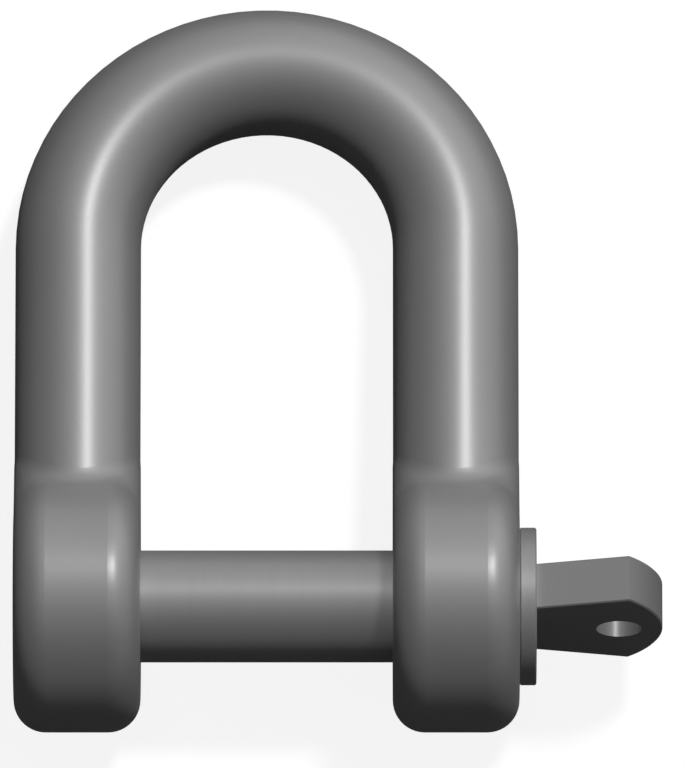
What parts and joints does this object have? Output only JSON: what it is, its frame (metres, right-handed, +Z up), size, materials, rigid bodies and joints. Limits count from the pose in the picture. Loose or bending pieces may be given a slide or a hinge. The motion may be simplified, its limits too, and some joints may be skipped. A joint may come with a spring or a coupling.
{
  "type": "d-shackle",
  "caption": "Round-bar D-shackle: a half-round bow with drum-shaped eyes, closed by a screw pin with a collar and a flat drilled head, lying on its side.",
  "frame": {"origin": "on the pin's axis, halfway between the two eyes", "axes": "+X along the pin toward its flat head, +Y toward the crown of the bow, +Z up; the shackle lies on its side, so its legs slope down to the crown by 6.34 degrees"},
  "size_m": [0.0926, 0.108, 0.036],
  "materials": {
    "bow": "satin mid-grey forged steel",
    "pin": "satin mid-grey turned steel"
  },
  "bodies": {
    "bow": {"bow": "bow"},
    "pin": {"pin": "pin"}
  },
  "joints": [
    {"name": "pin_slide", "type": "slide", "parent": "bow", "child": "pin", "axis": [1, 0, 0], "range_m": [0, 0.08]}
  ]
}
